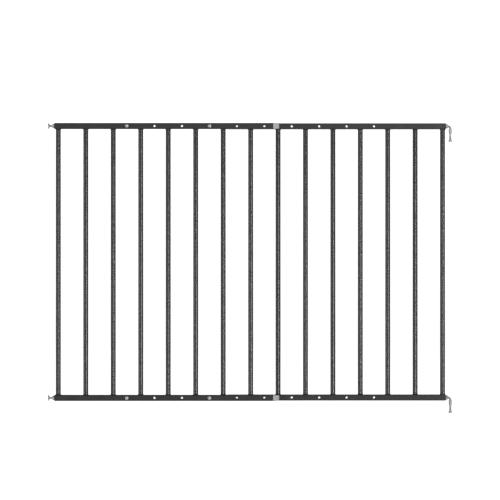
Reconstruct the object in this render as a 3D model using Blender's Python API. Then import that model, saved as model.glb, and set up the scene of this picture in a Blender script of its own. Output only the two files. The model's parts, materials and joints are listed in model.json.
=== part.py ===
"""Wall-mounted safety gate: two barred steel panels that slide past each other to suit a doorway.

X runs along the gate from the wall pads, Y from its front to its back, and Z up. The origin is the
middle of the lower wall pad's face. The gate stands at its full width. The rear panel is the front
panel turned end for end, so that their plain ends meet in the middle.
"""
import math

import bmesh
import bpy
from mathutils import Vector

# Panels
BARS = 8                  # bars in each panel
PITCH = 0.074             # bar to bar, which leaves 60.5 mm between bars
TRAVEL_STEPS = 6          # pitches that the rear panel slides in, from full width to the narrowest
RAIL_SPACING = 0.732      # lower rail's centre line to the upper one's
BAR_DIAMETER = 0.0135
BAR_WALL = 0.0009
RAIL_SIZE = 0.016
RAIL_WALL = 0.0012
RAIL_CORNER = 0.0018
FRONT_RAIL_PAST_BAR = 0.0022   # rail's wall end beyond the side of the outermost bar
REAR_RAIL_PAST_BAR = 0.0002
PLAIN_END = 0.0602        # rail beyond its innermost bar's centre
PANEL_GAP = 0.0008        # between the front rails' backs and the rear rails' fronts

# Clearances
SEAT = 0.0003             # between pieces that touch
RUN = 0.0003              # round a rod, screw or plug in its hole

# Rail ends
CAP_FLANGE = 0.0012
CAP_PLUG = 0.014
GUIDE_HEAD = 0.0159       # the light end piece that shows beyond the rail
GUIDE_PLUG = 0.020
GUIDE_LIP = 0.001         # strip that hooks over the rear rail
GUIDE_HOOK_DEPTH = 0.013  # how far the hook reaches down the rear rail's back

# Clamp screws and the holes for them, midway between bars
HOLE_CLEARANCE = 0.0005   # round a clamp screw in the rails
FIRST_HOLE_GAP = 3        # counted from the wall end
LAST_HOLE_GAP = 8
SCREW_GAPS = (3, 6)
SCREW_DIAMETER = 0.005
SCREW_TIP_CHAMFER = 0.0005
SCREW_HEAD_DIAMETER = 0.009
SCREW_HEAD_HEIGHT = 0.003
HEAD_PROFILE = ((0, 1), (0.35, 1), (0.75, 0.8), (1, 0.45))  # shares of its height and diameter
SCREW_REACH = 0.0015      # tip beyond the rear rail's front wall when driven home
SCREW_TRAVEL = 0.005      # how far a screw is backed off at full width
WASHER_DIAMETER = 0.010
WASHER_THICKNESS = 0.001
CLAMP_NUT_FLATS = 0.008
CLAMP_NUT_HEIGHT = 0.004

# Wall spindles, hooks and the nuts that set them
SPINDLE_OUT = 0.0167      # wall to the front end cap's face
ROD_DIAMETER = 0.006
ROD_IN_RAIL = 0.045       # rod inside its rail
NUT_FLATS = 0.010
NUT_HEIGHT = 0.005
PAD_DIAMETER = 0.016
PAD_RIM = 0.0016
PAD_CONE = 0.0028
HOOK_STRAIGHT = 0.0007    # rod between the nut and the bend
HOOK_BEND = 0.0065        # radius of the bend's centre line
HOOK_DROP = 0.042         # rod's centre line to the foot's underside
LEG_DIAMETER = 0.0053
SLEEVE_WALL = 0.00165
SLEEVE_END_WALL = 0.0007
SLEEVE_LENGTH = 0.0135
SLEEVE_TAPER = 0.004
FOOT_WALL = 0.0018
FOOT_HEIGHT = 0.007
FOOT_FLOOR = 0.002        # foot's closed end under the leg

BAR_SIDES = 24
BEND_STEPS = 8            # straight pieces in a hook's bend
CORNER_STEPS = 3          # points round a rail's corner, less one
ROUND_SIDES = 4 * (CORNER_STEPS + 1)

REAR_Y = RAIL_SIZE + PANEL_GAP
TUBE_INSIDE = RAIL_SIZE - 2 * RAIL_WALL
HOLE_DIAMETER = SCREW_DIAMETER + 2 * HOLE_CLEARANCE
CAP_OUT = SEAT + CAP_FLANGE                            # cap's face beyond the rail's end
FIRST_BAR_X = SPINDLE_OUT + CAP_OUT + FRONT_RAIL_PAST_BAR + BAR_DIAMETER / 2
SPAN_PITCHES = BARS + TRAVEL_STEPS                     # first bar to last at full width
TURN_ABOUT_X = 2 * FIRST_BAR_X + SPAN_PITCHES * PITCH  # a rear place is this less its front twin's
HOOK_OUT = SEAT + NUT_HEIGHT + HOOK_STRAIGHT + HOOK_BEND   # cap's face to the leg's centre line
LEG_BORE = LEG_DIAMETER + 2 * RUN

ALONG_X = (0, 0, 0)
BACK_ALONG_X = (0, 0, math.pi)
ALONG_Y = (0, 0, math.pi / 2)
UP = (0, -math.pi / 2, 0)
DOWN = (0, math.pi / 2, 0)

# look: colour, roughness, metallic
LOOKS = {
    "black_coat": ((0.035, 0.035, 0.037, 1), 0.42, 0.0),
    "black_plastic": ((0.018, 0.018, 0.019, 1), 0.55, 0.0),
    "grey_plastic": ((0.36, 0.36, 0.37, 1), 0.5, 0.0),
    "zinc": ((0.55, 0.56, 0.58, 1), 0.35, 1.0),
}


def clear_scene():
    for thing in list(bpy.data.objects):
        bpy.data.objects.remove(thing, do_unlink=True)


def give_material(piece, look):
    colour, roughness, metallic = LOOKS[look]
    material = bpy.data.materials.new(f"{piece.name}_{look}")
    material.use_nodes = True
    shader = material.node_tree.nodes["Principled BSDF"]
    shader.inputs["Base Color"].default_value = colour
    shader.inputs["Roughness"].default_value = roughness
    shader.inputs["Metallic"].default_value = metallic
    piece.data.materials.append(material)


def add_piece(name, shape, at, turn=ALONG_X, look=None, parent=None):
    """Puts a bmesh in the scene as a named object, with its origin at a world place."""
    bmesh.ops.recalc_face_normals(shape, faces=shape.faces)
    mesh = bpy.data.meshes.new(name)
    shape.to_mesh(mesh)
    shape.free()
    piece = bpy.data.objects.new(name, mesh)
    bpy.context.collection.objects.link(piece)
    piece.rotation_euler = turn
    piece.location = Vector(at)
    if parent:
        piece.parent = parent
        piece.location -= parent.location
    mesh.shade_smooth()
    mesh.set_sharp_from_angle(angle=math.radians(35))
    if look:
        give_material(piece, look)
    else:
        piece.hide_render = True
        piece.display_type = "WIRE"
    return piece


def add_boolean(piece, other, operation):
    modifier = piece.modifiers.new(f"{operation}_{other.name}", "BOOLEAN")
    modifier.operation = operation
    modifier.solver = "EXACT"
    modifier.object = other


def circle(diameter, sides=ROUND_SIDES):
    turn = 2 * math.pi / sides
    return [
        (diameter / 2 * math.cos((i + 0.5) * turn), diameter / 2 * math.sin((i + 0.5) * turn))
        for i in range(sides)
    ]


def hexagon(flats, sides=ROUND_SIDES):
    """A hexagon with extra points along its flats, to match a circle of the same number of sides."""
    points = []
    for i in range(sides):
        angle = i * 2 * math.pi / sides
        from_flat = (angle + math.pi / 6) % (math.pi / 3) - math.pi / 6
        radius = flats / 2 / math.cos(from_flat)
        points.append((radius * math.cos(angle), radius * math.sin(angle)))
    return points


def rounded_square(size, corner):
    """A square with round corners, which starts in the corner at +Y, +Z and goes round to -Y."""
    points = []
    for quarter in range(4):
        middle = math.pi / 4 + quarter * math.pi / 2
        out = (size / 2 - corner) * math.sqrt(2)
        for step in range(CORNER_STEPS + 1):
            angle = quarter * math.pi / 2 + step * math.pi / 2 / CORNER_STEPS
            points.append((
                out * math.cos(middle) + corner * math.cos(angle),
                out * math.sin(middle) + corner * math.sin(angle),
            ))
    return points


def loft(rings, closed=False):
    """Joins rings along X, each a place and an outline in Y and Z. A closed loft is a tube."""
    shape = bmesh.new()
    rows = [[shape.verts.new((x, y, z)) for y, z in outline] for x, outline in rings]
    count = len(rows[0])
    pairs = list(zip(rows, rows[1:]))
    if closed:
        pairs.append((rows[-1], rows[0]))
    else:
        shape.faces.new(rows[0])
        shape.faces.new(rows[-1])
    for row, following in pairs:
        for i in range(count):
            j = (i + 1) % count
            shape.faces.new((row[i], row[j], following[j], following[i]))
    return shape


def prism(outline, length):
    return loft([(0, outline), (length, outline)])


def bent_rod(centres, diameters):
    """A round rod along a path in the XZ plane."""
    shape = bmesh.new()
    across = Vector((0, 1, 0))
    rows = []
    for i, centre in enumerate(centres):
        ahead = centres[min(i + 1, len(centres) - 1)] - centres[max(i - 1, 0)]
        beside = ahead.normalized().cross(across)
        rows.append([shape.verts.new(centre + y * across + z * beside) for y, z in circle(diameters[i])])
    shape.faces.new(rows[0])
    shape.faces.new(rows[-1])
    for row, following in zip(rows, rows[1:]):
        for i in range(ROUND_SIDES):
            j = (i + 1) % ROUND_SIDES
            shape.faces.new((row[i], row[j], following[j], following[i]))
    return shape


class Panel:
    """Where a panel's pieces lie. The rear one is turned end for end."""

    def __init__(self, name, y, rail_past_bar, turned, parent=None):
        self.name = name
        self.y = y
        self.rail_start = FIRST_BAR_X - BAR_DIAMETER / 2 - rail_past_bar
        self.cap_face = self.rail_start - CAP_OUT
        self.turned = turned
        self.parent = parent

    def x(self, from_wall):
        return TURN_ABOUT_X - from_wall if self.turned else from_wall

    def facing(self):
        return BACK_ALONG_X if self.turned else ALONG_X

    def add(self, name, shape, from_wall, z, turn, look):
        return add_piece(name, shape, (self.x(from_wall), self.y, z), turn, look, self.parent)


def bar_from_wall(number):
    return FIRST_BAR_X + (number - 1) * PITCH


def gap_from_wall(number):
    return bar_from_wall(number) + PITCH / 2


def add_bars(panel):
    length = RAIL_SPACING - RAIL_SIZE - 2 * SEAT
    outer = circle(BAR_DIAMETER, BAR_SIDES)
    inner = circle(BAR_DIAMETER - 2 * BAR_WALL, BAR_SIDES)
    rings = [(0, outer), (length, outer), (length, inner), (0, inner)]
    for number in range(1, BARS + 1):
        panel.add(f"{panel.name}_bar_{number}", loft(rings, closed=True), bar_from_wall(number),
                  RAIL_SIZE / 2 + SEAT, UP, "black_coat")


def add_rail(panel, level, z):
    """A square tube with a row of holes straight through it, front to back."""
    length = bar_from_wall(BARS) + PLAIN_END - panel.rail_start
    outer = rounded_square(RAIL_SIZE, RAIL_CORNER)
    inner = rounded_square(TUBE_INSIDE, RAIL_CORNER - RAIL_WALL)
    rings = [(0, outer), (length, outer), (length, inner), (0, inner)]
    rail = panel.add(f"{panel.name}_{level}_rail", loft(rings, closed=True), panel.rail_start,
                     z, panel.facing(), "black_coat")
    for gap in range(FIRST_HOLE_GAP, LAST_HOLE_GAP + 1):
        drill = panel.add(f"{panel.name}_{level}_drill_{gap}", prism(circle(HOLE_DIAMETER), 2 * RAIL_SIZE),
                          gap_from_wall(gap), z, ALONG_Y, None)
        drill.location.y -= RAIL_SIZE
        add_boolean(rail, drill, "DIFFERENCE")


def add_end_cap(panel, level, z):
    """The wall end's cap: a flange over the tube's end and a plug in it, bored for the rod."""
    flange = rounded_square(RAIL_SIZE, RAIL_CORNER)
    plug = rounded_square(TUBE_INSIDE - 2 * RUN, RAIL_CORNER - RAIL_WALL)
    bore = circle(ROD_DIAMETER + 2 * RUN)
    end = CAP_OUT + CAP_PLUG
    rings = [(0, flange), (CAP_FLANGE, flange), (CAP_FLANGE, plug), (end, plug), (end, bore), (0, bore)]
    panel.add(f"{panel.name}_{level}_end_cap", loft(rings, closed=True), panel.cap_face, z,
              panel.facing(), "black_plastic")


def add_guide(panel, level, z, outward):
    """The plain end's guide: a plug, a head as deep as the rail with a pad that the other rail runs
    against, and on the front panel a lip that hooks over the rear rail. outward is +1 at the top
    rail and -1 at the bottom one, where the lip hooks under."""
    half = RAIL_SIZE / 2
    pad = half + PANEL_GAP - RUN
    if panel.turned:
        # turned end for end, so the pad on local +Y faces the front panel
        outline = [(-half, -half), (pad, -half), (pad, half), (-half, half)]
    else:
        lip_in = half + RUN
        lip_out = lip_in + GUIDE_LIP
        back_in = REAR_Y + half + RUN
        back_out = back_in + GUIDE_LIP
        hook_end = half - GUIDE_HOOK_DEPTH
        outline = [(-half, -half), (pad, -half), (pad, lip_in), (back_in, lip_in), (back_in, hook_end),
                   (back_out, hook_end), (back_out, lip_out), (half / 2, lip_out),
                   (half / 2 - GUIDE_LIP, half), (-half, half)]
    outline = [(y, outward * up) for y, up in outline]
    rail_end = bar_from_wall(BARS) + PLAIN_END
    guide = panel.add(f"{panel.name}_{level}_guide", prism(outline, GUIDE_HEAD), rail_end + SEAT, z,
                      panel.facing(), "grey_plastic")
    plug_section = rounded_square(TUBE_INSIDE - 2 * RUN, RAIL_CORNER - RAIL_WALL)
    plug = panel.add(f"{panel.name}_{level}_guide_plug", prism(plug_section, GUIDE_PLUG + GUIDE_HEAD / 2),
                     rail_end - GUIDE_PLUG, z, panel.facing(), None)
    add_boolean(guide, plug, "UNION")


def nut(flats, height, bore):
    outside = hexagon(flats)
    inside = circle(bore)
    return loft([(0, outside), (height, outside), (height, inside), (0, inside)], closed=True)


def add_rod_nut(panel, level, z, name):
    """The hexagon nut on a spindle's or hook's rod, which bears on the end cap."""
    panel.add(f"{level}_{name}_nut", nut(NUT_FLATS, NUT_HEIGHT, ROD_DIAMETER + 2 * RUN),
              panel.cap_face - SEAT - NUT_HEIGHT, z, panel.facing(), "zinc")


def add_spindle(panel, level, z):
    """A rod with a round wall pad forged on its end."""
    rod = circle(ROD_DIAMETER)
    pad = circle(PAD_DIAMETER)
    end = panel.rail_start + ROD_IN_RAIL
    rings = [(0, pad), (PAD_RIM, pad), (PAD_RIM + PAD_CONE, rod), (end, rod)]
    panel.add(f"{level}_spindle", loft(rings), 0, z, ALONG_X, "zinc")


def add_hook(panel, level, z):
    """A rod out of the rail's end, bent down into a leg, with a sleeve round the leg and a foot."""
    start = -CAP_OUT - ROD_IN_RAIL
    bend_start = HOOK_OUT - HOOK_BEND
    leg_end = HOOK_DROP - FOOT_FLOOR - SEAT
    centres = [Vector((start, 0, 0))]
    for step in range(BEND_STEPS + 1):
        angle = step * math.pi / 2 / BEND_STEPS
        centres.append(Vector((bend_start + HOOK_BEND * math.sin(angle), 0,
                               -HOOK_BEND * (1 - math.cos(angle)))))
    centres.append(Vector((HOOK_OUT, 0, -leg_end)))
    diameters = [ROD_DIAMETER] * 2
    diameters += [ROD_DIAMETER + (LEG_DIAMETER - ROD_DIAMETER) * step / BEND_STEPS
                  for step in range(1, BEND_STEPS + 1)]
    diameters.append(LEG_DIAMETER)
    panel.add(f"{level}_hook", bent_rod(centres, diameters), panel.cap_face, z, ALONG_X, "zinc")

    leg_from_wall = panel.cap_face - HOOK_OUT
    bore = circle(LEG_BORE)
    body = circle(LEG_BORE + 2 * SLEEVE_WALL)
    tip = circle(LEG_BORE + 2 * SLEEVE_END_WALL)
    straight = SLEEVE_LENGTH - SLEEVE_TAPER
    rings = [(0, body), (straight, body), (SLEEVE_LENGTH, tip), (SLEEVE_LENGTH, bore), (0, bore)]
    panel.add(f"{level}_hook_sleeve", loft(rings, closed=True), leg_from_wall,
              z - HOOK_BEND - SEAT, DOWN, "grey_plastic")

    foot = circle(LEG_BORE + 2 * FOOT_WALL)
    floor = FOOT_HEIGHT - FOOT_FLOOR
    rings = [(floor, bore), (0, bore), (0, foot), (FOOT_HEIGHT, foot)]
    panel.add(f"{level}_hook_foot", loft(rings), leg_from_wall, z - HOOK_DROP + FOOT_HEIGHT, DOWN,
              "grey_plastic")


def add_clamp(panel, level, z, number, gap):
    """A screw backed off in the front rail, its washer, and the nut that it threads through inside."""
    x = gap_from_wall(gap)
    head_back = -RAIL_SIZE / 2 - SEAT - WASHER_THICKNESS - SEAT
    tip = REAR_Y - RAIL_SIZE / 2 + RAIL_WALL + SCREW_REACH
    shank = circle(SCREW_DIAMETER)
    length = tip - head_back
    rings = [(length, circle(SCREW_DIAMETER - 2 * SCREW_TIP_CHAMFER)),
             (length - SCREW_TIP_CHAMFER, shank), (0, shank)]
    rings += [(-height * SCREW_HEAD_HEIGHT, circle(width * SCREW_HEAD_DIAMETER))
              for height, width in HEAD_PROFILE]
    screw = panel.add(f"{level}_clamp_screw_{number}", loft(rings), x, z, ALONG_Y, "zinc")
    screw.location.y = head_back - SCREW_TRAVEL

    outside = circle(WASHER_DIAMETER)
    bore = circle(SCREW_DIAMETER + 2 * RUN)
    rings = [(0, outside), (WASHER_THICKNESS, outside), (WASHER_THICKNESS, bore), (0, bore)]
    washer = panel.add(f"{level}_clamp_washer_{number}", loft(rings, closed=True), x, z, ALONG_Y, "zinc")
    washer.location.y = head_back + SEAT - SCREW_TRAVEL

    clamp_nut = panel.add(f"{level}_clamp_nut_{number}",
                          nut(CLAMP_NUT_FLATS, CLAMP_NUT_HEIGHT, SCREW_DIAMETER + 2 * RUN), x, z,
                          ALONG_Y, "zinc")
    clamp_nut.location.y = TUBE_INSIDE / 2 - SEAT - CLAMP_NUT_HEIGHT


def add_panel(panel):
    add_bars(panel)
    for level, z, outward in (("top", RAIL_SPACING, 1), ("bottom", 0, -1)):
        add_rail(panel, level, z)
        add_end_cap(panel, level, z)
        add_guide(panel, level, z, outward)


def add_slide_empty():
    """The rear panel's parent, on the line that it slides along."""
    slide = bpy.data.objects.new("rear_panel_slide", None)
    slide.location = (TURN_ABOUT_X, REAR_Y, 0)
    bpy.context.collection.objects.link(slide)
    return slide


def build():
    clear_scene()
    front = Panel("front", 0, FRONT_RAIL_PAST_BAR, turned=False)
    rear = Panel("rear", REAR_Y, REAR_RAIL_PAST_BAR, turned=True, parent=add_slide_empty())
    add_panel(front)
    add_panel(rear)
    for level, z in (("upper", RAIL_SPACING), ("lower", 0)):
        add_spindle(front, level, z)
        add_rod_nut(front, level, z, "spindle")
        add_hook(rear, level, z)
        add_rod_nut(rear, level, z, "hook")
        for number, gap in enumerate(SCREW_GAPS, start=1):
            add_clamp(front, level, z, number, gap)


build()
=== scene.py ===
"""The looks of a wall-mounted safety gate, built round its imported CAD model.

Every piece replaces the CAD node of the same name and lies where that node's box says. Lengths are
in metres, with X along the gate, Y from its front to its back and Z up.
"""
import json
import math

import bmesh
import bpy
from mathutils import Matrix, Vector


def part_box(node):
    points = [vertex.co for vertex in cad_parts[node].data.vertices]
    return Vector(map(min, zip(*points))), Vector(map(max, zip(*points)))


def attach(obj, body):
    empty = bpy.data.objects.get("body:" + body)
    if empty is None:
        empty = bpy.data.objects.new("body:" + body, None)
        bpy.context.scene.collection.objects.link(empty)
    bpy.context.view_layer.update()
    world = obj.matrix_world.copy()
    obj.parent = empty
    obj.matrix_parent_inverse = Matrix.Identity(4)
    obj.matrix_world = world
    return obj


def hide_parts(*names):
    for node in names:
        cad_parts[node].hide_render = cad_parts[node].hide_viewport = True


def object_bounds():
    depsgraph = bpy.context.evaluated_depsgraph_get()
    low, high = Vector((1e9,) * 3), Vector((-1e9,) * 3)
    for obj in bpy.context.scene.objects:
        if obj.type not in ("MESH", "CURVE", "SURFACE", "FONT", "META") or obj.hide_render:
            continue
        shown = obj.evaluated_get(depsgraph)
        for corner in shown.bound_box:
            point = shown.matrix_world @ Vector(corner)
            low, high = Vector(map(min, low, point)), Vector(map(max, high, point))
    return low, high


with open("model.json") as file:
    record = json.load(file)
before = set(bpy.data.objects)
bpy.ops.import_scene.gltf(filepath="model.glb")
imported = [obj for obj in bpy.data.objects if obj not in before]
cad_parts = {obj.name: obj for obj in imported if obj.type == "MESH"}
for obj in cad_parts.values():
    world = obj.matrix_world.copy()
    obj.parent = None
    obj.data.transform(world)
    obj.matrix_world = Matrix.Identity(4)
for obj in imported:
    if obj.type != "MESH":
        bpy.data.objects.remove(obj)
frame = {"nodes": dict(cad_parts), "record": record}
CAD_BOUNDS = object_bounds()

RECORD = frame["record"]
BODY_OF = {node: body for body, nodes in RECORD["behaviour"]["bodies"].items() for node in nodes}
SLOT_OF = {part["node"]: part["material_slot"] for part in RECORD["subparts"]}

MM = 0.001
X_AXIS = Vector((1, 0, 0))
Y_AXIS = Vector((0, 1, 0))
Z_AXIS = Vector((0, 0, 1))
DOWN = Vector((0, 0, -1))

# Fits
SEAT = 0.3 * MM              # between pieces that touch
PAD_STEP = 0.5 * MM          # a guide's pad beyond the rail's face
PLUG_PLAY = 0.5 * MM         # round a guide's plug

# Smoothness
CORNER_STEPS = 7             # in a quarter of a square tube's outline
ROUND_SIDES = 32
FINE_SIDES = 48
BEVEL_SEGMENTS = 3
SHARP_ANGLE = 38             # degrees between faces, above which an edge is shaded sharp

# Rails and bars
BARS = 8                     # in each panel
RAIL_CORNER = 1.8 * MM
RAIL_WALL = 1.2 * MM
RAIL_DEBURR = 0.25 * MM
HOLE_RADIUS = 3.0 * MM
HOLE_ROUNDING = 0.4 * MM
HOLE_SIDES = 40
HOLE_REGION = 1.05 * HOLE_RADIUS   # the holes' rims lie this near the middle of the rail's face
ON_FACE = 0.01 * MM          # a vertex this near a face is on it
END_ZONE = 5.0 * MM          # of a rail, where there is no hole
WELD_REACH = 1.15 * MM       # how far the weld bead stands out from the bar at the rail
WELD_HEIGHT = 2.4 * MM
WELD_BITE = 0.35 * MM        # bead past the bar's end, which just meets the rail
WELD_PROFILE = ((0.1, 0.93), (0.25, 0.72), (0.42, 0.50), (0.60, 0.30), (0.80, 0.12))   # shares
WELD_RIPPLES = 22
RIPPLE_DEPTH = 0.07          # shares of the bead's reach, as are the drifts
WELD_DRIFTS = ((0.10, 2, 1.7), (0.06, 3, 0.9))   # depth, waves round the bar, shift from bar to bar

# End caps
CAP_FLANGE = 1.6 * MM
CAP_ROUNDING = 0.6 * MM
CAP_CROWN = 0.15 * MM
CAP_ROUNDING_STEPS = 4
CAP_BORE = 3.25 * MM
CAP_COUNTERSINK = 0.7 * MM
CAP_BORE_BREAK = 0.3 * MM
CAP_PLAY = 0.3 * MM          # from the rail's inside to the crush ribs
CAP_PLUG_CORNER = 0.6 * MM
CAP_PLUG_LEAD = 1.0 * MM
RIB_RADIUS = 0.6 * MM
RIB_HEIGHT = 0.3 * MM        # above the plug
RIB_TIP = 0.35 * MM
RIB_START = 0.5 * MM         # beyond the flange
RIB_STOP = 1.5 * MM          # short of the plug's end
RIB_TAPER = 1.5 * MM
RIB_SIDES = 12

# Guides
GUIDE_COLLAR = 2.4 * MM      # full-height band against the rail's end
GUIDE_STEP = 0.4 * MM        # from the band down to the rest of the head
GUIDE_DROP = 2.3 * MM        # how far the head's outer edge falls by its far end
GUIDE_RISE = 0.5 * MM        # and how far its inner edge rises
BAND_FALL, HEAD_FALL = 0.1, 0.15   # shares of that drop by the band's edge and at the head's start
HEAD_STEPS = 6
HEAD_CURVE = 0.8
GUIDE_ROUNDING = 0.35 * MM
GUIDE_CREST = 0.3 * MM       # how far the pad bows out along its length
GRIP_START = 0.3 * MM        # the front guide's hook over the rear rail, along the rail
GRIP_END = 7.0 * MM
GRIP_LIP = 0.8 * MM          # thickness over the rail
GRIP_BACK = 1.0 * MM         # and behind it
GRIP_REACH = 13 * MM         # down the rail's back
GRIP_ROOT = 2.0 * MM         # overlap with the head
GRIP_ROUNDING = 0.25 * MM
PLUG_REACH = 20 * MM
PLUG_LEAD = 1.0 * MM

# Threads and nuts
M6_PITCH, M6_CREST, M6_ROOT = 1.0 * MM, 2.95 * MM, 2.45 * MM
M5_PITCH, M5_CREST, M5_ROOT = 0.8 * MM, 2.45 * MM, 2.0 * MM
M6_FLATS, M6_NUT_BORE = 10 * MM, 3.05 * MM
M5_FLATS, M5_NUT_BORE = 8 * MM, 2.55 * MM
THREAD_STEPS = 8             # rows of points in one turn of thread
THREAD_ROOT_SHARE, THREAD_FLANK_SHARE = 0.14, 0.62
NUT_FACE = 0.95              # round part of a nut's face, as a share of its flats
NUT_CHAMFER = 30             # degrees
NUT_BREAK = 0.45 * MM
TIP_RELIEF = 1.0 * MM        # a rod's or screw's end without thread

# Wall spindles
PAD_THICKNESS = 1.6 * MM
PAD_EDGE = 0.4 * MM
PAD_EDGE_STEPS = 4
NECK_END = 4.4 * MM          # the pad's cone has come down to the rod here
NECK_STEPS = 6
NECK_CURVE = 0.55
RELIEF_END = 5.4 * MM
THREAD_START = 5.6 * MM
ROD_TIP = 0.6 * MM
ROD_TIP_CHAMFER = 0.5 * MM

# Hooks, sleeves and feet
HOOK_THREAD = 5.6 * MM       # thread beyond the end cap
HOOK_BEND = 6.5 * MM         # radius of the bend's centre line
HOOK_BEND_STEPS = 20
CAD_ROD_RADIUS = 3.0 * MM
SHANK_RADIUS = 2.75 * MM
LEG_RADIUS = 2.65 * MM
LEG_CHAMFER = 0.4 * MM
LEG_BORE = 2.8 * MM          # in the sleeve and the foot
SLEEVE_BREAK = 0.4 * MM
SLEEVE_EDGE = 0.5 * MM
SLEEVE_EDGE_STEPS = 4
SLEEVE_COLLAR = 1.6 * MM
SLEEVE_STEP = 0.3 * MM       # from the collar down to the barrel
SLEEVE_TIP = 3.5 * MM
SLEEVE_TIP_BREAK = 0.15 * MM
TAPER_FROM = 0.62            # share of the sleeve's length
TAPER_SHARES = (0.7, 0.78, 0.86, 0.93)
TAPER_CURVE = 1.6
SEAM_HEIGHT = 0.12 * MM      # the sleeve's parting line
SEAM_WIDTH = 0.08            # sine of its angle about the axis
SEAM_CLEAR = 0.2 * MM        # it stays this far off the bore
SLEEVE_SIDES = 64
FOOT_FLOOR = 2.0 * MM        # below the leg's bore
FOOT_BREAK = 0.3 * MM
FOOT_EDGE = 0.9 * MM
FOOT_EDGE_STEPS = 6
FOOT_PROFILE = (             # mm down from its top and in from its rim: neck, shoulder and groove
    (0, 1.9), (0.4, 1.5), (1.2, 1.35), (1.9, 0.5), (2.4, 0), (3.3, 0), (3.5, 0.25), (3.8, 0.25), (4, 0))

# Clamp screws and washers
HEAD_TOP = 0.42              # flat top, as a share of the head's radius
HEAD_DOME = 0.62             # share of the head's height that is domed
HEAD_SKIRT = 0.12
DOME_STEPS = 8
SCREW_NECK = 0.5 * MM
SCREW_THREAD_START = 0.8 * MM
SCREW_TIP = 0.5 * MM
SCREW_TIP_CHAMFER = 0.4 * MM
RECESS_RISE = 0.4 * MM       # the cutting blades above the head
RECESS_MOUTH = (1.9 * MM, 0.45 * MM)   # half of a blade's width and thickness there
RECESS = ((0.30, 1.4 * MM, 0.38 * MM), (0.50, 0.6 * MM, 0.3 * MM))   # and at shares of the head's height
WASHER_BORE = 2.7 * MM
WASHER_EDGE = 0.15 * MM

# Materials
NOISE_RANGE = (0.3, 0.7)     # where most of a noise's values lie
COLOUR_RANGE = (0.35, 0.65)

# Camera
VIEW_WIDTH = 1.3482          # width of the view, midway between the two panels
CAMERA_DISTANCE = 6.5        # from there
CAMERA_RISE = 0.0322         # the view's centre above the middle of the rails
CAMERA_LEFT = 0.0018         # and to the left of the middle between the outermost bars
SENSOR = 36.0
CLIP_END = 60.0

# Studio
FLOOR_DROP = 0.06            # floor below the lowest hook
FLOOR_RADIUS = 7.0
SWEEP_RADIUS = 3.0           # curve from the floor up to the wall
SWEEP_STEPS = 12
WALL_TOP = 9.0
FLOOR_CENTRE = 0.02          # radius of the small disc that closes the floor
BACKDROP_SIDES = 96
BACKDROP_TONES = (0.79, 0.80, 0.81)
BACKDROP_GLOW = 0.93
ROOM_LIGHT = ((0.30, 0.55), (0.50, 0.31), (0.75, 0.10))   # height, 0 down to 1 up, and grey there
LIGHTS = (  # name, place from the gate's centre, width, height, power
    ("front", (0.0, -7.5, 0.3), 5.0, 3.0, 30),
    ("key", (3.0, -5.5, 0.5), 0.6, 3.2, 280),
    ("side", (4.6, -2.2, 0.6), 1.0, 2.4, 16),
    ("fill", (-4.4, -3.0, 0.4), 1.2, 2.6, 70),
    ("back", (-3.0, 4.5, 2.5), 2.0, 2.0, 30),
)


# ---------------------------------------------------------------- materials

def new_material(name, colour, roughness, metallic=0.0):
    material = bpy.data.materials.new(name)
    material.use_nodes = True
    shader = material.node_tree.nodes["Principled BSDF"]
    shader.inputs["Base Color"].default_value = (*colour, 1)
    shader.inputs["Roughness"].default_value = roughness
    shader.inputs["Metallic"].default_value = metallic
    return material, shader


def add_node(material, kind, **settings):
    node = material.node_tree.nodes.new(kind)
    for key, value in settings.items():
        setattr(node, key, value)
    return node


def link(material, source, target):
    material.node_tree.links.new(source, target)


def noise(material, scale, detail=2.0, roughness=0.5):
    """Noise in the object's own metres, so that scale is cycles in a metre."""
    place = add_node(material, "ShaderNodeTexCoord")
    texture = add_node(material, "ShaderNodeTexNoise")
    texture.inputs["Scale"].default_value = scale
    texture.inputs["Detail"].default_value = detail
    texture.inputs["Roughness"].default_value = roughness
    link(material, place.outputs["Object"], texture.inputs["Vector"])
    return texture.outputs["Fac"]


def vary_value(material, fac, low, high, target):
    spread = add_node(material, "ShaderNodeMapRange")
    spread.inputs["From Min"].default_value = NOISE_RANGE[0]
    spread.inputs["From Max"].default_value = NOISE_RANGE[1]
    spread.inputs["To Min"].default_value = low
    spread.inputs["To Max"].default_value = high
    link(material, fac, spread.inputs["Value"])
    link(material, spread.outputs["Result"], target)


def vary_colour(material, fac, dark, light, target):
    ramp = add_node(material, "ShaderNodeValToRGB")
    for stop, place, colour in zip(ramp.color_ramp.elements, COLOUR_RANGE, (dark, light)):
        stop.position = place
        stop.color = (*colour, 1)
    link(material, fac, ramp.inputs["Fac"])
    link(material, ramp.outputs["Color"], target)


def add_bumps(material, shader, layers):
    """Stacks bump layers, each (height, strength, distance), and feeds them to the shader."""
    previous = None
    for height, strength, distance in layers:
        bump = add_node(material, "ShaderNodeBump")
        bump.inputs["Strength"].default_value = strength
        bump.inputs["Distance"].default_value = distance
        link(material, height, bump.inputs["Height"])
        if previous:
            link(material, previous, bump.inputs["Normal"])
        previous = bump.outputs["Normal"]
    link(material, previous, shader.inputs["Normal"])


def finish(name, metallic, colours, blotches, roughness, grain, bumps):
    """A material whose colour and roughness wander, under layers of fine bumps.

    colours are dark, middle and light, and roughness is low, middle and high. blotches and grain are
    the noises that move them, each (scale, detail[, roughness]). bumps are (noise, strength, depth).
    """
    dark, middle, light = colours
    low, medium, high = roughness
    material, shader = new_material(name, middle, medium, metallic)
    vary_colour(material, noise(material, *blotches), dark, light, shader.inputs["Base Color"])
    vary_value(material, noise(material, *grain), low, high, shader.inputs["Roughness"])
    add_bumps(material, shader, [(noise(material, *layer), strength, depth)
                                 for layer, strength, depth in bumps])
    return material


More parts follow.
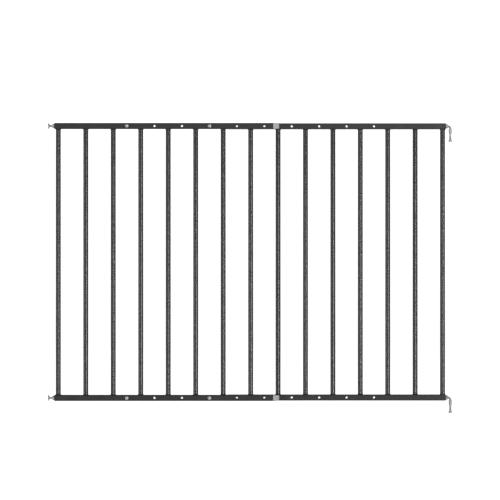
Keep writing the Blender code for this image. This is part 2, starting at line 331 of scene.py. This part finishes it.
def zinc_plate(name, shade):
    """Zinc plate on steel: a cloudy surface with fine drawing marks. shade darkens its colours, which paints
    shade into a copy of it.
    """
    colours = [[shade * value for value in colour]
               for colour in ((0.44, 0.45, 0.47), (0.52, 0.53, 0.55), (0.58, 0.59, 0.61))]
    return finish(name, 1.0, colours, blotches=(180, 4, 0.6), roughness=(0.48, 0.56, 0.62),
                  grain=(700, 3), bumps=[((1500, 3), 0.08, 0.05 * MM), ((6000, 2), 0.05, 0.02 * MM)])


MATERIALS = {
    # satin, with a faint orange peel
    "black_powder_coat": finish(
        "black_powder_coat", 0.0, ((0.011, 0.011, 0.012), (0.014, 0.014, 0.015), (0.017, 0.017, 0.018)),
        blotches=(35, 3), roughness=(0.25, 0.27, 0.29), grain=(260, 2),
        bumps=[((520, 1.5), 0.035, 0.15 * MM), ((2600, 2), 0.02, 0.05 * MM)]),
    # matte, with an etched grain
    "black_plastic": finish(
        "black_plastic", 0.0, ((0.007, 0.007, 0.0075), (0.009, 0.009, 0.0095), (0.012, 0.012, 0.0125)),
        blotches=(120, 2), roughness=(0.50, 0.55, 0.62), grain=(400, 2),
        bumps=[((3200, 3, 0.6), 0.25, 0.06 * MM)]),
    # faint flow marks under a fine grain
    "grey_plastic": finish(
        "grey_plastic", 0.0, ((0.35, 0.35, 0.355), (0.375, 0.375, 0.38), (0.40, 0.40, 0.405)),
        blotches=(90, 3), roughness=(0.42, 0.48, 0.56), grain=(500, 2),
        bumps=[((240, 1), 0.06, 0.2 * MM), ((3600, 3, 0.6), 0.18, 0.05 * MM)]),
    "zinc_plate": zinc_plate("zinc_plate", 1.0),
}
PAINTED_SHADE_ZINC = zinc_plate("painted_shade_zinc_plate", 0.6)   # painted shade: the same zinc made darker, so that the bent hooks and their nuts look less lit


# ---------------------------------------------------------------- mesh tools

def circle(radius, sides=ROUND_SIDES):
    return [(radius * math.cos(2 * math.pi * i / sides), radius * math.sin(2 * math.pi * i / sides))
            for i in range(sides)]


def rounded_square(half, corner):
    """The outline of a square with round corners, 4 * (CORNER_STEPS + 1) points."""
    points = []
    for quarter in range(4):
        start = quarter * math.pi / 2
        middle = start + math.pi / 4
        out = (half - corner) * math.sqrt(2)
        for step in range(CORNER_STEPS + 1):
            angle = start + step * math.pi / 2 / CORNER_STEPS
            points.append((out * math.cos(middle) + corner * math.cos(angle),
                           out * math.sin(middle) + corner * math.sin(angle)))
    return points


def frame_at(origin, along, first):
    """A function that puts (distance along, across, up) in the world."""
    second = along.cross(first)

    def place(distance, across, up):
        return origin + along * distance + first * across + second * up
    return place


def skin(rows, closed=False, open_end=False):
    """Joins rows of world points into a surface. Unless it is closed on itself, its start is capped,
    and so is its end, unless open_end."""
    shape = bmesh.new()
    made = [[shape.verts.new(point) for point in row] for row in rows]
    pairs = list(zip(made, made[1:]))
    if closed:
        pairs.append((made[-1], made[0]))
    else:
        shape.faces.new(made[0])
        if not open_end:
            shape.faces.new(made[-1])
    for row, following in pairs:
        for i in range(len(row)):
            j = (i + 1) % len(row)
            shape.faces.new((row[i], row[j], following[j], following[i]))
    return shape


def ring_of(place, distance, outline):
    return [place(distance, across, up) for across, up in outline]


def plain_rows(place, profile, sides=ROUND_SIDES):
    return [ring_of(place, distance, circle(radius, sides)) for distance, radius in profile]


def turned(place, profile, sides=ROUND_SIDES, closed=False, vary=None):
    """A turned solid. profile is (distance along, radius); vary(distance, radius, angle) may change it."""
    if not vary:
        return skin(plain_rows(place, profile, sides), closed)
    angles = [2 * math.pi * i / sides for i in range(sides)]
    return skin([[place(distance, vary(distance, radius, angle) * math.cos(angle),
                        vary(distance, radius, angle) * math.sin(angle)) for angle in angles]
                 for distance, radius in profile], closed)


def arc(centre, radius, start, end, steps):
    """Points of an arc in a profile, angles in degrees from the direction along."""
    return [(centre[0] + radius * math.cos(math.radians(start + (end - start) * i / steps)),
             centre[1] + radius * math.sin(math.radians(start + (end - start) * i / steps)))
            for i in range(steps + 1)]


def shade(mesh, sharp=SHARP_ANGLE):
    mesh.shade_smooth()
    mesh.set_sharp_from_angle(angle=math.radians(sharp))


def finish_mesh(name, shape, sharp=SHARP_ANGLE):
    bmesh.ops.recalc_face_normals(shape, faces=shape.faces)
    mesh = bpy.data.meshes.new(name)
    shape.to_mesh(mesh)
    shape.free()
    shade(mesh, sharp)
    piece = bpy.data.objects.new(name, mesh)
    bpy.context.scene.collection.objects.link(piece)
    return piece


def apply_modifiers(piece):
    evaluated = piece.evaluated_get(bpy.context.evaluated_depsgraph_get())
    mesh = bpy.data.meshes.new_from_object(evaluated)
    old = piece.data
    piece.modifiers.clear()
    piece.data = mesh
    bpy.data.meshes.remove(old)


def combine(piece, others, operation):
    """Booleans other objects into a piece, or out of it, and removes them."""
    for other in others:
        modifier = piece.modifiers.new(operation, "BOOLEAN")
        modifier.operation = operation
        modifier.solver = "EXACT"
        modifier.object = other
    apply_modifiers(piece)
    for other in others:
        bpy.data.objects.remove(other, do_unlink=True)


def round_edges(piece, width, limit=30, chosen=None):
    """Rounds a piece's edges of more than limit degrees, or those of them that chosen(edge) picks."""
    shape = bmesh.new()
    shape.from_mesh(piece.data)
    edges = [edge for edge in shape.edges if len(edge.link_faces) == 2
             and math.degrees(edge.calc_face_angle(0)) > limit and (chosen is None or chosen(edge))]
    bmesh.ops.bevel(shape, geom=edges, offset=width, segments=BEVEL_SEGMENTS, profile=0.5, affect="EDGES",
                    clamp_overlap=True)
    bmesh.ops.recalc_face_normals(shape, faces=shape.faces)
    shape.to_mesh(piece.data)
    shape.free()
    shade(piece.data)


def weigh_normals(piece):
    """Keeps large flat faces flat in the shading, next to small rounded ones."""
    modifier = piece.modifiers.new("weighted_normals", "WEIGHTED_NORMAL")
    modifier.keep_sharp = True
    modifier.weight = 100


def stand_for(piece, node):
    """Gives a piece its CAD node's place in the assembly: its body, its slot and its material."""
    piece.data.materials.clear()
    # zinc pieces of the hooks take the darkened copy of the zinc, which is painted shade
    painted_shade_hook = SLOT_OF[node] == "zinc_plate" and "_hook" in node
    piece.data.materials.append(PAINTED_SHADE_ZINC if painted_shade_hook else MATERIALS[SLOT_OF[node]])
    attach(piece, BODY_OF[node])
    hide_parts(node)
    return piece


def centre_of(node):
    low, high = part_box(node)
    return (low + high) / 2


# ---------------------------------------------------------------- threads

def thread_shape(phase):
    """A rolled thread's height, 0 at the root and 1 at the crest, over one turn from 0 to 1."""
    up = min(phase, 1 - phase) * 2
    return min(1.0, max(0.0, (up - THREAD_ROOT_SHARE) / THREAD_FLANK_SHARE))


def thread_rows(place, start, end, root, crest, pitch, sides=ROUND_SIDES):
    """Rows of a threaded stretch. The thread runs out over half a turn at each end."""
    count = max(2, round((end - start) / pitch * THREAD_STEPS))
    rows = []
    for step in range(count + 1):
        distance = start + (end - start) * step / count
        fade = min(1.0, 2 * (distance - start) / pitch, 2 * (end - distance) / pitch)
        row = []
        for i in range(sides):
            angle = 2 * math.pi * i / sides
            height = thread_shape((distance / pitch - i / sides) % 1) * max(0.0, fade)
            radius = root + (crest - root) * height
            row.append(place(distance, radius * math.cos(angle), radius * math.sin(angle)))
        rows.append(row)
    return rows


# ---------------------------------------------------------------- rails and bars

def rail_holes(rail_node):
    """X of each hole's axis, read from the CAD rail: its holes' walls stand square to the rail."""
    mesh = frame["nodes"][rail_node].data
    low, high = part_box(rail_node)
    middle = (low + high) / 2
    places = sorted({round(vertex.co.x, 4) for vertex in mesh.vertices
                     if abs(vertex.co.z - middle.z) < HOLE_REGION
                     and abs(abs(vertex.co.y - middle.y) - (high.y - middle.y)) < ON_FACE
                     and low.x + END_ZONE < vertex.co.x < high.x - END_ZONE})
    holes = []
    for x in places:
        if holes and x - holes[-1][0] < 3 * HOLE_RADIUS:
            holes[-1].append(x)
        else:
            holes.append([x])
    return [(group[0] + group[-1]) / 2 for group in holes]


def make_rail(node):
    """A square tube with round corners, deburred ends and six coated through holes."""
    low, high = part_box(node)
    middle = (low + high) / 2
    half = (high.z - low.z) / 2
    length = high.x - low.x
    place = frame_at(Vector((low.x, middle.y, middle.z)), X_AXIS, Y_AXIS)
    outer = rounded_square(half, RAIL_CORNER)
    trimmed = rounded_square(half - RAIL_DEBURR, RAIL_CORNER - RAIL_DEBURR / 2)
    inner = rounded_square(half - RAIL_WALL, RAIL_CORNER - RAIL_WALL)
    opened = rounded_square(half - RAIL_WALL + RAIL_DEBURR, RAIL_CORNER - RAIL_WALL + RAIL_DEBURR)
    rings = [(0, trimmed), (RAIL_DEBURR, outer), (length - RAIL_DEBURR, outer), (length, trimmed),
             (length, opened), (length - RAIL_DEBURR, inner), (RAIL_DEBURR, inner), (0, opened)]
    rows = [ring_of(place, distance, outline) for distance, outline in rings]
    rail = finish_mesh(node, skin(rows, closed=True))
    drills = []
    for x in rail_holes(node):
        drill_place = frame_at(Vector((x, low.y - half, middle.z)), Y_AXIS, X_AXIS)
        through = [(0, HOLE_RADIUS), (4 * half, HOLE_RADIUS)]
        drills.append(finish_mesh("drill", turned(drill_place, through, HOLE_SIDES)))
    combine(rail, drills, "DIFFERENCE")

    def on_rim(edge):
        return all(abs(abs(v.co.y - middle.y) - half) < ON_FACE and abs(v.co.z - middle.z) < HOLE_REGION
                   and low.x + END_ZONE < v.co.x < high.x - END_ZONE for v in edge.verts)

    round_edges(rail, HOLE_ROUNDING, limit=60, chosen=on_rim)
    weigh_normals(rail)
    return stand_for(rail, node)


def weld_bead(number):
    """How far a weld bead's toe swings in and out round a bar, a little different on each bar."""
    def swing(angle):
        ripple = RIPPLE_DEPTH * math.sin(WELD_RIPPLES * angle + number)
        drift = sum(depth * math.sin(waves * angle + shift * number)
                    for depth, waves, shift in WELD_DRIFTS)
        return 1 + ripple + drift
    return swing


def make_bar(node, number):
    """A round tube with a coated weld bead where it meets each rail."""
    low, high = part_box(node)
    middle = (low + high) / 2
    radius = (high.x - low.x) / 2
    length = high.z - low.z
    place = frame_at(Vector((middle.x, middle.y, low.z)), Z_AXIS, X_AXIS)
    swing = weld_bead(number)
    bead = [(-WELD_BITE, WELD_REACH)]
    bead += [(up * WELD_HEIGHT, out * WELD_REACH) for up, out in WELD_PROFILE]
    bead += [(WELD_HEIGHT, 0.0)]
    profile = [(distance, radius + out) for distance, out in bead]
    profile += [(length - distance, radius + out) for distance, out in reversed(bead)]

    def vary(distance, there, angle):
        return radius + (there - radius) * swing(angle)

    bar = finish_mesh(node, turned(place, profile, FINE_SIDES, vary=vary))
    return stand_for(bar, node)


# ---------------------------------------------------------------- rail ends

def make_end_cap(node, outward):
    """A moulded cap: a crowned flange with a countersunk bore, and a plug with crush ribs.
    outward is the X direction that the flange faces."""
    low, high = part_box(node)
    middle = (low + high) / 2
    half = (high.z - low.z) / 2
    face = low.x if outward < 0 else high.x
    place = frame_at(Vector((face, middle.y, middle.z)), X_AXIS * -outward, Y_AXIS)
    length = high.x - low.x
    rib_crest = half - RAIL_WALL - CAP_PLAY
    plug = rounded_square(rib_crest - RIB_HEIGHT, CAP_PLUG_CORNER)

    def hole(radius):
        """A circle whose points face the square's, corner to corner."""
        return [(radius * math.cos(angle), radius * math.sin(angle)) for angle in
                (math.atan2(up, across) for across, up in rounded_square(half, RAIL_CORNER))]

    rows = [ring_of(place, CAP_COUNTERSINK, hole(CAP_BORE)),
            ring_of(place, 0.0, hole(CAP_BORE + CAP_COUNTERSINK)),
            ring_of(place, 0.0, rounded_square(half - 2 * CAP_ROUNDING, RAIL_CORNER))]
    for step in range(CAP_ROUNDING_STEPS + 1):
        angle = math.radians(90 * step / CAP_ROUNDING_STEPS)
        inset = CAP_ROUNDING * (1 - math.sin(angle))
        depth = CAP_CROWN + CAP_ROUNDING * (1 - math.cos(angle))
        rows.append(ring_of(place, depth, rounded_square(half - inset, RAIL_CORNER)))
    rows += [ring_of(place, CAP_FLANGE, rounded_square(half, RAIL_CORNER)),
             ring_of(place, CAP_FLANGE, plug),
             ring_of(place, length - CAP_PLUG_LEAD, plug),
             ring_of(place, length, rounded_square(rib_crest - CAP_PLUG_LEAD, CAP_PLUG_CORNER)),
             ring_of(place, length, hole(CAP_BORE + CAP_BORE_BREAK)),
             ring_of(place, length - CAP_BORE_BREAK, hole(CAP_BORE))]
    cap = finish_mesh(node, skin(rows, closed=True))
    ribs = []
    for side in range(4):
        angle = side * math.pi / 2
        direction = Y_AXIS * math.cos(angle) + Z_AXIS * math.sin(angle)
        rib_place = frame_at(Vector((face, middle.y, middle.z)) + direction * (rib_crest - RIB_RADIUS),
                             X_AXIS * -outward, Y_AXIS)
        rib = [(CAP_FLANGE + RIB_START, RIB_RADIUS), (length - RIB_STOP - RIB_TAPER, RIB_RADIUS),
               (length - RIB_STOP, RIB_TIP)]
        ribs.append(finish_mesh("rib", turned(rib_place, rib, RIB_SIDES)))
    combine(cap, ribs, "UNION")
    weigh_normals(cap)
    return stand_for(cap, node)


def make_guide(node, inward, outward_z, rail_node):
    """A moulded guide: a band against the rail's end, a head that falls away from it, a plug in the
    rail and, on the front panel, a hook over the rear rail. inward is the X direction of the plug and
    outward_z the Z direction away from the bars."""
    low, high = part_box(node)
    rail_low, rail_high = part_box(rail_node)
    middle = (rail_low + rail_high) / 2
    half = (rail_high.z - rail_low.z) / 2
    rail_end = rail_high.x if inward < 0 else rail_low.x
    start = rail_end - inward * SEAT
    length = abs((high.x if inward < 0 else low.x) - start)
    facing = -inward                        # the front panel's pad faces +Y and the rear one's -Y
    pad = max(high.y - middle.y, middle.y - low.y) if inward > 0 else half + PAD_STEP
    along = X_AXIS * -inward

    def place(distance, across, out):
        return Vector((start, middle.y, middle.z)) + along * distance + Y_AXIS * across + \
            Z_AXIS * outward_z * out

    def section(distance, inset, share):
        """The head's outline, set in from the band's, and share of the way to its far end."""
        near = -half + inset + GUIDE_RISE * share
        far = half - inset - GUIDE_DROP * share
        front = -facing * (half - inset)
        back = facing * (pad - 0.5 * inset)
        middle_back = back + facing * min(0.5 * inset, GUIDE_CREST)
        return [place(distance, front, near), place(distance, back, near),
                place(distance, middle_back, (near + far) / 2), place(distance, back, far),
                place(distance, front, far)]

    stations = [(0, 0, 0), (GUIDE_COLLAR, 0, BAND_FALL), (GUIDE_COLLAR + GUIDE_STEP, GUIDE_STEP, HEAD_FALL)]
    for step in range(1, HEAD_STEPS + 1):
        share = step / HEAD_STEPS
        distance = GUIDE_COLLAR + GUIDE_STEP + (length - GUIDE_COLLAR - GUIDE_STEP) * share
        stations.append((distance, GUIDE_STEP, HEAD_FALL + (1 - HEAD_FALL) * share ** HEAD_CURVE))
    guide = finish_mesh(node, skin([section(*station) for station in stations]))
    round_edges(guide, GUIDE_ROUNDING)

    plug_place = frame_at(Vector((start, middle.y, middle.z)), along, Y_AXIS)
    plug_ends = ((-PLUG_REACH, PLUG_LEAD), (-PLUG_REACH + PLUG_LEAD, 0), (length / 2, 0))
    added = [finish_mesh("plug", skin([
        ring_of(plug_place, distance,
                rounded_square(half - RAIL_WALL - PLUG_PLAY - inset, RAIL_CORNER / 2))
        for distance, inset in plug_ends]))]
    if inward < 0:
        lip_in = half + SEAT
        lip_out = lip_in + GRIP_LIP
        back_out = high.y - middle.y
        back_in = back_out - GRIP_BACK
        tip = half - GRIP_REACH
        root = half - GRIP_ROOT
        outline = [(half / 2, root), (pad, root), (pad, lip_in), (back_in, lip_in),
                   (back_in, tip), (back_out, tip), (back_out, lip_out), (half / 2 + GRIP_BACK, lip_out),
                   (half / 2, half)]
        grip = finish_mesh("grip", skin([ring_of(place, distance, outline)
                                         for distance in (GRIP_START, GRIP_END)]))
        round_edges(grip, GRIP_ROUNDING, limit=40)
        added.append(grip)
    combine(guide, added, "UNION")
    shade(guide.data)
    weigh_normals(guide)
    return stand_for(guide, node)


# ---------------------------------------------------------------- fasteners

def hexagon_radius(flats, angle):
    from_flat = (angle + math.pi / 6) % (math.pi / 3) - math.pi / 6
    return flats / 2 / math.cos(from_flat)


def make_nut(node, axis, flats, bore):
    """A hexagon nut: its corners are chamfered at 30 degrees on both faces, and its bore is broken."""
    low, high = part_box(node)
    middle = (low + high) / 2
    height = (high - low).dot(axis)
    across = Y_AXIS if axis == X_AXIS else X_AXIS
    place = frame_at(middle - axis * height / 2, axis, across)
    face = NUT_FACE * flats / 2

    def ring(distance, radius_at):
        row = []
        for i in range(FINE_SIDES):
            angle = 2 * math.pi * i / FINE_SIDES
            there, offset = radius_at(angle)
            row.append(place(distance + offset, there * math.cos(angle), there * math.sin(angle)))
        return row

    def corner(sign):
        def radius_at(angle):
            there = hexagon_radius(flats, angle)
            return there, sign * (there - face) * math.tan(math.radians(NUT_CHAMFER))
        return radius_at

    def plain(radius):
        return lambda angle: (radius, 0)

    mouth = plain(bore + NUT_BREAK)
    rows = [ring(0, mouth), ring(0, plain(face)), ring(0, corner(1)),
            ring(height, corner(-1)), ring(height, plain(face)), ring(height, mouth),
            ring(height - NUT_BREAK, plain(bore)), ring(NUT_BREAK, plain(bore))]
    nut = finish_mesh(node, skin(rows, closed=True), sharp=25)
    return stand_for(nut, node)


def make_spindle(node):
    """An M6 rod with a rolled thread, and a round wall pad forged on its end."""
    low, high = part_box(node)
    middle = (low + high) / 2
    length = high.x - low.x
    pad = (high.z - low.z) / 2
    place = frame_at(Vector((low.x, middle.y, middle.z)), X_AXIS, Y_AXIS)
    edge = [(PAD_EDGE - x, radius) for x, radius in
            arc((0, pad - PAD_EDGE), PAD_EDGE, 0, 90, PAD_EDGE_STEPS)][1:]
    profile = [(0, pad - 2 * PAD_EDGE), (0, pad - PAD_EDGE), *edge, (PAD_THICKNESS - PAD_EDGE, pad)]
    profile += [(PAD_THICKNESS - x, radius) for x, radius in reversed(edge[:-1])]
    profile += [(PAD_THICKNESS, pad - PAD_EDGE)]
    for step in range(1, NECK_STEPS + 1):
        share = step / NECK_STEPS
        profile.append((PAD_THICKNESS + (NECK_END - PAD_THICKNESS) * share,
                        pad - PAD_EDGE + (M6_CREST - pad + PAD_EDGE) * share ** NECK_CURVE))
    profile.append((RELIEF_END, M6_ROOT))
    rows = plain_rows(place, profile)
    rows += thread_rows(place, THREAD_START, length - TIP_RELIEF, M6_ROOT, M6_CREST, M6_PITCH)
    rows += plain_rows(place, [(length - ROD_TIP, M6_ROOT), (length, M6_ROOT - ROD_TIP_CHAMFER)])
    return stand_for(finish_mesh(node, skin(rows), sharp=50), node)


def make_hook(node, cap_node):
    """An M6 rod out of the rail's end, bent down into a smooth leg."""
    low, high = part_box(node)
    cap_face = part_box(cap_node)[1].x
    axis_y = (low.y + high.y) / 2
    leg_x = high.x - LEG_RADIUS
    rod_z = high.z - CAD_ROD_RADIUS * math.cos(math.pi / ROUND_SIDES)
    bend_x = leg_x - HOOK_BEND
    place = frame_at(Vector((low.x, axis_y, rod_z)), X_AXIS, Y_AXIS)
    thread_end = cap_face + HOOK_THREAD - low.x
    rows = plain_rows(place, [(0, M6_ROOT - ROD_TIP_CHAMFER), (ROD_TIP, M6_ROOT)])
    rows += thread_rows(place, TIP_RELIEF, min(thread_end, bend_x - low.x), M6_ROOT, M6_CREST, M6_PITCH)
    for step in range(HOOK_BEND_STEPS + 1):
        angle = step * math.pi / 2 / HOOK_BEND_STEPS
        centre = Vector((bend_x + HOOK_BEND * math.sin(angle), axis_y,
                         rod_z - HOOK_BEND * (1 - math.cos(angle))))
        along = Vector((math.cos(angle), 0, -math.sin(angle)))
        radius = SHANK_RADIUS + (LEG_RADIUS - SHANK_RADIUS) * step / HOOK_BEND_STEPS
        rows += plain_rows(frame_at(centre, along, Y_AXIS), [(0, radius)])
    leg_place = frame_at(Vector((leg_x, axis_y, rod_z - HOOK_BEND)), DOWN, Y_AXIS)
    drop = rod_z - HOOK_BEND - low.z
    rows += plain_rows(leg_place, [(0.3 * drop, LEG_RADIUS), (0.7 * drop, LEG_RADIUS),
                                   (drop - LEG_CHAMFER, LEG_RADIUS), (drop, LEG_RADIUS - LEG_CHAMFER)])
    return stand_for(finish_mesh(node, skin(rows), sharp=50), node)


def make_sleeve(node):
    """A moulded sleeve: a collar, a barrel with a parting line, and a taper to its lower end."""
    low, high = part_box(node)
    middle = (low + high) / 2
    place = frame_at(Vector((middle.x, middle.y, high.z)), DOWN, X_AXIS)
    length = high.z - low.z
    radius = (high.x - low.x) / 2
    body = radius - SLEEVE_STEP
    profile = [(SLEEVE_BREAK, LEG_BORE), (0, LEG_BORE + SLEEVE_BREAK), (0, radius - SLEEVE_EDGE)]
    profile += [(SLEEVE_EDGE - x, r) for x, r in
                arc((0, radius - SLEEVE_EDGE), SLEEVE_EDGE, 0, 90, SLEEVE_EDGE_STEPS)][1:]
    profile += [(SLEEVE_COLLAR, radius), (SLEEVE_COLLAR + SLEEVE_STEP, body), (TAPER_FROM * length, body)]
    profile += [(length * share, body + (SLEEVE_TIP - body)
                 * ((share - TAPER_FROM) / (1 - TAPER_FROM)) ** TAPER_CURVE) for share in TAPER_SHARES]
    profile += [(length - SLEEVE_EDGE, SLEEVE_TIP),
                (length - SLEEVE_TIP_BREAK, SLEEVE_TIP - SLEEVE_TIP_BREAK),
                (length, SLEEVE_TIP - SLEEVE_EDGE), (length, LEG_BORE)]

    def vary(distance, there, angle):
        if distance <= SLEEVE_COLLAR or there <= LEG_BORE + SEAM_CLEAR:
            return there
        return there + SEAM_HEIGHT * max(0.0, 1 - abs(math.sin(angle)) / SEAM_WIDTH)

    sleeve = finish_mesh(node, turned(place, profile, SLEEVE_SIDES, closed=True, vary=vary), sharp=40)
    return stand_for(sleeve, node)


def make_foot(node):
    """The foot on a hook's leg: a rounded button with a shallow groove round it."""
    low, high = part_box(node)
    middle = (low + high) / 2
    place = frame_at(Vector((middle.x, middle.y, high.z)), DOWN, X_AXIS)
    height = high.z - low.z
    radius = (high.x - low.x) / 2
    profile = [(height - FOOT_FLOOR, LEG_BORE), (FOOT_BREAK, LEG_BORE), (0, LEG_BORE + FOOT_BREAK)]
    profile += [(down * MM, radius - inset * MM) for down, inset in FOOT_PROFILE]
    profile += [(height - FOOT_EDGE + x, r) for x, r in
                reversed(arc((0, radius - FOOT_EDGE), FOOT_EDGE, 0, 90, FOOT_EDGE_STEPS))]
    profile += [(height, radius - 2 * FOOT_EDGE)]
    return stand_for(finish_mesh(node, turned(place, profile, FINE_SIDES), sharp=40), node)


def make_washer(node):
    low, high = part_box(node)
    middle = (low + high) / 2
    place = frame_at(Vector((middle.x, low.y, middle.z)), Y_AXIS, X_AXIS)
    thick = high.y - low.y
    radius = (high.x - low.x) / 2
    edge = WASHER_EDGE
    profile = [(edge, WASHER_BORE), (0, WASHER_BORE + edge), (0, radius - edge),
               (0.4 * edge, radius - 0.4 * edge), (edge, radius), (thick - edge, radius),
               (thick, radius - 2 * edge), (thick, WASHER_BORE + edge), (thick - edge, WASHER_BORE)]
    return stand_for(finish_mesh(node, turned(place, profile, FINE_SIDES, closed=True), sharp=40), node)


def make_clamp_screw(node, washer_node):
    """An M5 pan-head screw with a cross recess and a rolled thread."""
    low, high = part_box(node)
    middle = (low + high) / 2
    head_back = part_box(washer_node)[0].y - SEAT
    place = frame_at(Vector((middle.x, head_back, middle.z)), Y_AXIS, X_AXIS)
    radius = (high.x - low.x) / 2
    height = head_back - low.y
    length = high.y - head_back
    top = radius * HEAD_TOP
    skirt = HEAD_SKIRT * height
    profile = [(-height, 0.25 * top), (-height, top)]
    for step in range(1, DOME_STEPS + 1):
        angle = math.radians(90 * step / DOME_STEPS)
        profile.append((-height + HEAD_DOME * height * (1 - math.cos(angle)),
                        top + (radius - top) * math.sin(angle)))
    profile += [(-skirt, radius), (0, radius - skirt), (0, M5_CREST), (SCREW_NECK, M5_CREST)]
    rows = plain_rows(place, profile, FINE_SIDES)
    rows += thread_rows(place, SCREW_THREAD_START, length - TIP_RELIEF, M5_ROOT, M5_CREST, M5_PITCH,
                        FINE_SIDES)
    rows += plain_rows(place, [(length - SCREW_TIP, M5_ROOT), (length, M5_ROOT - SCREW_TIP_CHAMFER)],
                       FINE_SIDES)
    screw = finish_mesh(node, skin(rows), sharp=50)
    levels = [(-RECESS_RISE, *RECESS_MOUTH)]
    levels += [(share * height, reach, thick) for share, reach, thick in RECESS]
    blades = []
    for direction in (X_AXIS, Z_AXIS):
        other = direction.cross(Y_AXIS)
        rows = []
        for depth, reach, thick in levels:
            centre = Vector((middle.x, low.y + depth, middle.z))
            rows.append([centre + direction * a * reach + other * b * thick
                         for a, b in ((1, 1), (-1, 1), (-1, -1), (1, -1))])
        blades.append(finish_mesh("blade", skin(rows)))
    combine(screw, blades, "DIFFERENCE")
    screw.data.set_sharp_from_angle(angle=math.radians(40))
    return stand_for(screw, node)


# ---------------------------------------------------------------- build the gate

for panel_number, (panel, wall_side) in enumerate((("front", -1), ("rear", 1))):
    for bar_number in range(1, BARS + 1):
        make_bar(f"{panel}_bar_{bar_number}", bar_number + BARS * panel_number)
    for level, up_sign in (("top", 1), ("bottom", -1)):
        make_rail(f"{panel}_{level}_rail")
        make_end_cap(f"{panel}_{level}_end_cap", wall_side)
        make_guide(f"{panel}_{level}_guide", wall_side, up_sign, f"{panel}_{level}_rail")

for level, rail_level in (("upper", "top"), ("lower", "bottom")):
    make_spindle(f"{level}_spindle")
    make_nut(f"{level}_spindle_nut", X_AXIS, M6_FLATS, M6_NUT_BORE)
    make_hook(f"{level}_hook", f"rear_{rail_level}_end_cap")
    make_nut(f"{level}_hook_nut", X_AXIS, M6_FLATS, M6_NUT_BORE)
    make_sleeve(f"{level}_hook_sleeve")
    make_foot(f"{level}_hook_foot")
    for clamp_number in (1, 2):
        washer_name = f"{level}_clamp_washer_{clamp_number}"
        make_clamp_screw(f"{level}_clamp_screw_{clamp_number}", washer_name)
        make_washer(washer_name)
        make_nut(f"{level}_clamp_nut_{clamp_number}", Y_AXIS, M5_FLATS, M5_NUT_BORE)


# ---------------------------------------------------------------- stage, light and camera

def add_backdrop(centre_x, floor_z):
    """A pale floor that sweeps up into a round wall. It glows, so that it is evenly pale, but neither
    lights the gate nor shows in its reflections."""
    profile = [(0.0, FLOOR_CENTRE), (0.0, FLOOR_RADIUS)]
    for step in range(1, SWEEP_STEPS + 1):
        angle = math.radians(90 * step / SWEEP_STEPS)
        profile.append((SWEEP_RADIUS * (1 - math.cos(angle)), FLOOR_RADIUS + SWEEP_RADIUS * math.sin(angle)))
    profile.append((WALL_TOP, FLOOR_RADIUS + SWEEP_RADIUS))
    place = frame_at(Vector((centre_x, 0, floor_z)), Z_AXIS, X_AXIS)
    rows = plain_rows(place, profile, BACKDROP_SIDES)
    backdrop = finish_mesh("backdrop", skin(rows, open_end=True), sharp=60)
    dark, middle, light = ((tone, tone, tone) for tone in BACKDROP_TONES)
    material, shader = new_material("pale_backdrop", middle, 0.9)
    vary_colour(material, noise(material, 2, 2), dark, light, shader.inputs["Base Color"])
    shader.inputs["Emission Color"].default_value = (1, 1, 1, 1)
    shader.inputs["Emission Strength"].default_value = BACKDROP_GLOW
    backdrop.data.materials.append(material)
    backdrop.visible_glossy = False
    backdrop.visible_diffuse = False


def add_area_light(name, at, target, width, height, power):
    data = bpy.data.lights.new(name, "AREA")
    data.shape = "RECTANGLE"
    data.size = width
    data.size_y = height
    data.energy = power
    light = bpy.data.objects.new(name, data)
    bpy.context.scene.collection.objects.link(light)
    light.visible_camera = False
    light.location = at
    light.rotation_euler = (Vector(target) - Vector(at)).to_track_quat("-Z", "Y").to_euler()


def add_world():
    """Light from all round the room: pale from the floor, dim from the walls and the ceiling."""
    world = bpy.data.worlds.new("studio")
    world.use_nodes = True
    tree = world.node_tree
    direction = tree.nodes.new("ShaderNodeTexCoord")
    split = tree.nodes.new("ShaderNodeSeparateXYZ")
    height = tree.nodes.new("ShaderNodeMapRange")
    height.inputs["From Min"].default_value = -1
    ramp = tree.nodes.new("ShaderNodeValToRGB")
    ramp.color_ramp.elements.new(0.5)
    for stop, (place, grey) in zip(ramp.color_ramp.elements, ROOM_LIGHT):
        stop.position = place
        stop.color = (grey, grey, grey, 1)
    tree.links.new(direction.outputs["Generated"], split.inputs["Vector"])
    tree.links.new(split.outputs["Z"], height.inputs["Value"])
    tree.links.new(height.outputs["Result"], ramp.inputs["Fac"])
    tree.links.new(ramp.outputs["Color"], tree.nodes["Background"].inputs["Color"])
    bpy.context.scene.world = world


def add_camera(centre_x, centre_y, centre_z):
    data = bpy.data.cameras.new("camera")
    data.sensor_width = SENSOR
    data.lens = SENSOR * CAMERA_DISTANCE / VIEW_WIDTH
    data.clip_end = CLIP_END
    camera = bpy.data.objects.new("camera", data)
    bpy.context.scene.collection.objects.link(camera)
    camera.location = (centre_x, centre_y - CAMERA_DISTANCE, centre_z)
    camera.rotation_euler = (math.pi / 2, 0, 0)
    bpy.context.scene.camera = camera


rail_middle = (centre_of("front_top_rail").z + centre_of("front_bottom_rail").z) / 2
gate_middle = (centre_of("front_bar_1").x + centre_of("rear_bar_1").x) / 2
panels_middle_y = (centre_of("front_bar_1").y + centre_of("rear_bar_1").y) / 2
add_backdrop(gate_middle, CAD_BOUNDS[0].z - FLOOR_DROP)
add_camera(gate_middle - CAMERA_LEFT, panels_middle_y, rail_middle + CAMERA_RISE)
add_world()
gate_centre = (gate_middle, panels_middle_y, rail_middle)
for light_name, place_xyz, width, height, power in LIGHTS:
    add_area_light(light_name, Vector(place_xyz) + Vector(gate_centre), gate_centre, width, height, power)
bpy.context.scene.view_settings.view_transform = "Standard"
